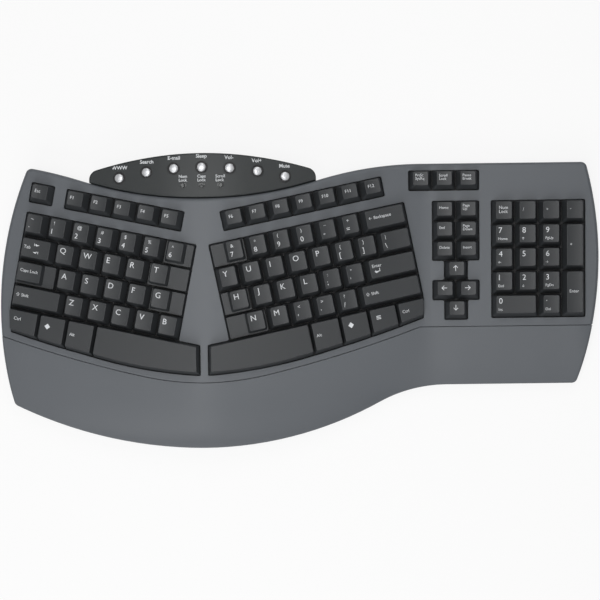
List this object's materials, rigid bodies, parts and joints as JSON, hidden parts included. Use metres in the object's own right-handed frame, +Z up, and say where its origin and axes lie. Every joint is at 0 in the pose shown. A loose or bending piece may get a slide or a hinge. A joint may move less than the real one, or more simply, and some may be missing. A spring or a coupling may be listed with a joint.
{
  "type": "ergonomic split keyboard",
  "caption": "Curved split keyboard with two tented key blocks, palm rest, navigation block, number pad and a rear panel of round hot keys.",
  "frame": {"origin": "middle of the footprint on the desk, at the bottom of the rubber feet", "axes": "+X to the typist's right along the rows, +Y away from the typist, +Z up"},
  "size_m": [0.4866, 0.2386, 0.0494],
  "materials": {
    "case_plastic": "fine matt texture, slate grey",
    "base_plastic": "matt, slate grey",
    "key_plastic": "smooth matt, dark grey",
    "panel_plastic": "satin, charcoal",
    "hotkey_plastic": "satin silver paint",
    "lens_plastic": "smoked lens",
    "frame_plastic": "black",
    "dome_rubber": "translucent silicone",
    "membrane_film": "printed film",
    "plate_steel": "zinc plated",
    "board_laminate": "green solder resist",
    "screw_steel": "plated",
    "foot_rubber": "black",
    "grommet_rubber": "black"
  },
  "bodies": {
    "case": {"base_shell": "base_plastic", "top_cover": "case_plastic", "palm_rest": "case_plastic", "hotkey_panel": "panel_plastic", "indicator_lenses": "lens_plastic", "key_frame_left": "frame_plastic", "key_frame_right": "frame_plastic", "key_frame_pad": "frame_plastic", "dome_sheets": "dome_rubber", "membrane_sheets": "membrane_film", "back_plates": "plate_steel", "controller_board": "board_laminate", "hotkey_board": "board_laminate", "case_screws": "screw_steel", "rubber_feet": "foot_rubber", "cable_grommet": "grommet_rubber"},
    "esc_key_body": {"esc_key": "key_plastic"},
    "function_keys_left_body": {"function_keys_left": "key_plastic"},
    "number_keys_left_body": {"number_keys_left": "key_plastic"},
    "tab_key_body": {"tab_key": "key_plastic"},
    "upper_letters_left_body": {"upper_letters_left": "key_plastic"},
    "caps_lock_key_body": {"caps_lock_key": "key_plastic"},
    "home_letters_left_body": {"home_letters_left": "key_plastic"},
    "shift_key_left_body": {"shift_key_left": "key_plastic"},
    "lower_letters_left_body": {"lower_letters_left": "key_plastic"},
    "ctrl_key_left_body": {"ctrl_key_left": "key_plastic"},
    "super_key_left_body": {"super_key_left": "key_plastic"},
    "alt_key_left_body": {"alt_key_left": "key_plastic"},
    "space_bar_left_body": {"space_bar_left": "key_plastic"},
    "function_keys_right_body": {"function_keys_right": "key_plastic"},
    "number_keys_right_body": {"number_keys_right": "key_plastic"},
    "backspace_key_body": {"backspace_key": "key_plastic"},
    "upper_letters_right_body": {"upper_letters_right": "key_plastic"},
    "backslash_key_body": {"backslash_key": "key_plastic"},
    "home_letters_right_body": {"home_letters_right": "key_plastic"},
    "enter_key_body": {"enter_key": "key_plastic"},
    "lower_letters_right_body": {"lower_letters_right": "key_plastic"},
    "shift_key_right_body": {"shift_key_right": "key_plastic"},
    "space_bar_right_body": {"space_bar_right": "key_plastic"},
    "alt_key_right_body": {"alt_key_right": "key_plastic"},
    "super_key_right_body": {"super_key_right": "key_plastic"},
    "menu_key_body": {"menu_key": "key_plastic"},
    "ctrl_key_right_body": {"ctrl_key_right": "key_plastic"},
    "print_scroll_pause_keys_body": {"print_scroll_pause_keys": "key_plastic"},
    "navigation_keys_body": {"navigation_keys": "key_plastic"},
    "arrow_keys_body": {"arrow_keys": "key_plastic"},
    "pad_function_keys_body": {"pad_function_keys": "key_plastic"},
    "pad_number_keys_body": {"pad_number_keys": "key_plastic"},
    "pad_plus_key_body": {"pad_plus_key": "key_plastic"},
    "pad_enter_key_body": {"pad_enter_key": "key_plastic"},
    "pad_zero_key_body": {"pad_zero_key": "key_plastic"},
    "hot_key_web_body": {"hot_key_web": "hotkey_plastic"},
    "hot_key_search_body": {"hot_key_search": "hotkey_plastic"},
    "hot_key_mail_body": {"hot_key_mail": "hotkey_plastic"},
    "hot_key_sleep_body": {"hot_key_sleep": "hotkey_plastic"},
    "hot_key_volume_down_body": {"hot_key_volume_down": "hotkey_plastic"},
    "hot_key_volume_up_body": {"hot_key_volume_up": "hotkey_plastic"},
    "hot_key_mute_body": {"hot_key_mute": "hotkey_plastic"},
    "tilt_foot_left_body": {"tilt_foot_left": "base_plastic"},
    "tilt_foot_right_body": {"tilt_foot_right": "base_plastic"}
  },
  "joints": [
    {"name": "esc_key_press", "type": "slide", "parent": "case", "child": "esc_key_body", "axis": [0.139, 0.0518, -0.9889], "range_m": [0, 0.0034], "stiffness_N_per_m": 120, "springref_m": -0.002, "deforming": ["dome_sheets"]},
    {"name": "function_keys_left_press", "type": "slide", "parent": "case", "child": "function_keys_left_body", "axis": [0.139, 0.0518, -0.9889], "range_m": [0, 0.0034], "stiffness_N_per_m": 600, "springref_m": -0.002},
    {"name": "number_keys_left_press", "type": "slide", "parent": "case", "child": "number_keys_left_body", "axis": [0.139, 0.0518, -0.9889], "range_m": [0, 0.0034], "stiffness_N_per_m": 840, "springref_m": -0.002},
    {"name": "tab_key_press", "type": "slide", "parent": "case", "child": "tab_key_body", "axis": [0.139, 0.0518, -0.9889], "range_m": [0, 0.0034], "stiffness_N_per_m": 120, "springref_m": -0.002},
    {"name": "upper_letters_left_press", "type": "slide", "parent": "case", "child": "upper_letters_left_body", "axis": [0.139, 0.0518, -0.9889], "range_m": [0, 0.0034], "stiffness_N_per_m": 600, "springref_m": -0.002},
    {"name": "caps_lock_key_press", "type": "slide", "parent": "case", "child": "caps_lock_key_body", "axis": [0.139, 0.0518, -0.9889], "range_m": [0, 0.0034], "stiffness_N_per_m": 120, "springref_m": -0.002},
    {"name": "home_letters_left_press", "type": "slide", "parent": "case", "child": "home_letters_left_body", "axis": [0.139, 0.0518, -0.9889], "range_m": [0, 0.0034], "stiffness_N_per_m": 600, "springref_m": -0.002},
    {"name": "shift_key_left_press", "type": "slide", "parent": "case", "child": "shift_key_left_body", "axis": [0.139, 0.0518, -0.9889], "range_m": [0, 0.0034], "stiffness_N_per_m": 120, "springref_m": -0.002},
    {"name": "lower_letters_left_press", "type": "slide", "parent": "case", "child": "lower_letters_left_body", "axis": [0.139, 0.0518, -0.9889], "range_m": [0, 0.0034], "stiffness_N_per_m": 600, "springref_m": -0.002},
    {"name": "ctrl_key_left_press", "type": "slide", "parent": "case", "child": "ctrl_key_left_body", "axis": [0.139, 0.0518, -0.9889], "range_m": [0, 0.0034], "stiffness_N_per_m": 120, "springref_m": -0.002},
    {"name": "super_key_left_press", "type": "slide", "parent": "case", "child": "super_key_left_body", "axis": [0.139, 0.0518, -0.9889], "range_m": [0, 0.0034], "stiffness_N_per_m": 120, "springref_m": -0.002},
    {"name": "alt_key_left_press", "type": "slide", "parent": "case", "child": "alt_key_left_body", "axis": [0.139, 0.0518, -0.9889], "range_m": [0, 0.0034], "stiffness_N_per_m": 120, "springref_m": -0.002},
    {"name": "space_bar_left_press", "type": "slide", "parent": "case", "child": "space_bar_left_body", "axis": [0.139, 0.0518, -0.9889], "range_m": [0, 0.0034], "stiffness_N_per_m": 120, "springref_m": -0.002},
    {"name": "function_keys_right_press", "type": "slide", "parent": "case", "child": "function_keys_right_body", "axis": [-0.139, 0.0518, -0.9889], "range_m": [0, 0.0034], "stiffness_N_per_m": 840, "springref_m": -0.002},
    {"name": "number_keys_right_press", "type": "slide", "parent": "case", "child": "number_keys_right_body", "axis": [-0.139, 0.0518, -0.9889], "range_m": [0, 0.0034], "stiffness_N_per_m": 720, "springref_m": -0.002},
    {"name": "backspace_key_press", "type": "slide", "parent": "case", "child": "backspace_key_body", "axis": [-0.139, 0.0518, -0.9889], "range_m": [0, 0.0034], "stiffness_N_per_m": 120, "springref_m": -0.002},
    {"name": "upper_letters_right_press", "type": "slide", "parent": "case", "child": "upper_letters_right_body", "axis": [-0.139, 0.0518, -0.9889], "range_m": [0, 0.0034], "stiffness_N_per_m": 840, "springref_m": -0.002},
    {"name": "backslash_key_press", "type": "slide", "parent": "case", "child": "backslash_key_body", "axis": [-0.139, 0.0518, -0.9889], "range_m": [0, 0.0034], "stiffness_N_per_m": 120, "springref_m": -0.002},
    {"name": "home_letters_right_press", "type": "slide", "parent": "case", "child": "home_letters_right_body", "axis": [-0.139, 0.0518, -0.9889], "range_m": [0, 0.0034], "stiffness_N_per_m": 720, "springref_m": -0.002},
    {"name": "enter_key_press", "type": "slide", "parent": "case", "child": "enter_key_body", "axis": [-0.139, 0.0518, -0.9889], "range_m": [0, 0.0034], "stiffness_N_per_m": 120, "springref_m": -0.002},
    {"name": "lower_letters_right_press", "type": "slide", "parent": "case", "child": "lower_letters_right_body", "axis": [-0.139, 0.0518, -0.9889], "range_m": [0, 0.0034], "stiffness_N_per_m": 600, "springref_m": -0.002},
    {"name": "shift_key_right_press", "type": "slide", "parent": "case", "child": "shift_key_right_body", "axis": [-0.139, 0.0518, -0.9889], "range_m": [0, 0.0034], "stiffness_N_per_m": 120, "springref_m": -0.002},
    {"name": "space_bar_right_press", "type": "slide", "parent": "case", "child": "space_bar_right_body", "axis": [-0.139, 0.0518, -0.9889], "range_m": [0, 0.0034], "stiffness_N_per_m": 120, "springref_m": -0.002},
    {"name": "alt_key_right_press", "type": "slide", "parent": "case", "child": "alt_key_right_body", "axis": [-0.139, 0.0518, -0.9889], "range_m": [0, 0.0034], "stiffness_N_per_m": 120, "springref_m": -0.002},
    {"name": "super_key_right_press", "type": "slide", "parent": "case", "child": "super_key_right_body", "axis": [-0.139, 0.0518, -0.9889], "range_m": [0, 0.0034], "stiffness_N_per_m": 120, "springref_m": -0.002},
    {"name": "menu_key_press", "type": "slide", "parent": "case", "child": "menu_key_body", "axis": [-0.139, 0.0518, -0.9889], "range_m": [0, 0.0034], "stiffness_N_per_m": 120, "springref_m": -0.002},
    {"name": "ctrl_key_right_press", "type": "slide", "parent": "case", "child": "ctrl_key_right_body", "axis": [-0.139, 0.0518, -0.9889], "range_m": [0, 0.0034], "stiffness_N_per_m": 120, "springref_m": -0.002},
    {"name": "print_scroll_pause_keys_press", "type": "slide", "parent": "case", "child": "print_scroll_pause_keys_body", "axis": [0, 0.0523, -0.9986], "range_m": [0, 0.0034], "stiffness_N_per_m": 360, "springref_m": -0.002},
    {"name": "navigation_keys_press", "type": "slide", "parent": "case", "child": "navigation_keys_body", "axis": [0, 0.0523, -0.9986], "range_m": [0, 0.0034], "stiffness_N_per_m": 720, "springref_m": -0.002},
    {"name": "arrow_keys_press", "type": "slide", "parent": "case", "child": "arrow_keys_body", "axis": [0, 0.0523, -0.9986], "range_m": [0, 0.0034], "stiffness_N_per_m": 480, "springref_m": -0.002},
    {"name": "pad_function_keys_press", "type": "slide", "parent": "case", "child": "pad_function_keys_body", "axis": [0, 0.0523, -0.9986], "range_m": [0, 0.0034], "stiffness_N_per_m": 480, "springref_m": -0.002},
    {"name": "pad_number_keys_press", "type": "slide", "parent": "case", "child": "pad_number_keys_body", "axis": [0, 0.0523, -0.9986], "range_m": [0, 0.0034], "stiffness_N_per_m": 1200, "springref_m": -0.002},
    {"name": "pad_plus_key_press", "type": "slide", "parent": "case", "child": "pad_plus_key_body", "axis": [0, 0.0523, -0.9986], "range_m": [0, 0.0034], "stiffness_N_per_m": 120, "springref_m": -0.002},
    {"name": "pad_enter_key_press", "type": "slide", "parent": "case", "child": "pad_enter_key_body", "axis": [0, 0.0523, -0.9986], "range_m": [0, 0.0034], "stiffness_N_per_m": 120, "springref_m": -0.002},
    {"name": "pad_zero_key_press", "type": "slide", "parent": "case", "child": "pad_zero_key_body", "axis": [0, 0.0523, -0.9986], "range_m": [0, 0.0034], "stiffness_N_per_m": 120, "springref_m": -0.002},
    {"name": "hot_key_web_press", "type": "slide", "parent": "case", "child": "hot_key_web_body", "axis": [0.139, 0.0518, -0.9889], "range_m": [0, 0.0009], "stiffness_N_per_m": 400, "springref_m": -0.001},
    {"name": "hot_key_search_press", "type": "slide", "parent": "case", "child": "hot_key_search_body", "axis": [0.139, 0.0518, -0.9889], "range_m": [0, 0.0009], "stiffness_N_per_m": 400, "springref_m": -0.001},
    {"name": "hot_key_mail_press", "type": "slide", "parent": "case", "child": "hot_key_mail_body", "axis": [0.092, 0.0521, -0.9944], "range_m": [0, 0.0009], "stiffness_N_per_m": 400, "springref_m": -0.001},
    {"name": "hot_key_sleep_press", "type": "slide", "parent": "case", "child": "hot_key_sleep_body", "axis": [0, 0.0523, -0.9986], "range_m": [0, 0.0009], "stiffness_N_per_m": 400, "springref_m": -0.001},
    {"name": "hot_key_volume_down_press", "type": "slide", "parent": "case", "child": "hot_key_volume_down_body", "axis": [-0.092, 0.0521, -0.9944], "range_m": [0, 0.0009], "stiffness_N_per_m": 400, "springref_m": -0.001},
    {"name": "hot_key_volume_up_press", "type": "slide", "parent": "case", "child": "hot_key_volume_up_body", "axis": [-0.139, 0.0518, -0.9889], "range_m": [0, 0.0009], "stiffness_N_per_m": 400, "springref_m": -0.001},
    {"name": "hot_key_mute_press", "type": "slide", "parent": "case", "child": "hot_key_mute_body", "axis": [-0.139, 0.0518, -0.9889], "range_m": [0, 0.0009], "stiffness_N_per_m": 400, "springref_m": -0.001},
    {"name": "tilt_foot_left_swing", "type": "hinge", "parent": "case", "child": "tilt_foot_left_body", "pos_m": [-0.19801, 0.0915, 0.0035], "axis": [1, 0, 0], "range_deg": [0, 90]},
    {"name": "tilt_foot_right_swing", "type": "hinge", "parent": "case", "child": "tilt_foot_right_body", "pos_m": [0.20006, 0.0915, 0.0035], "axis": [1, 0, 0], "range_deg": [0, 90]}
  ]
}
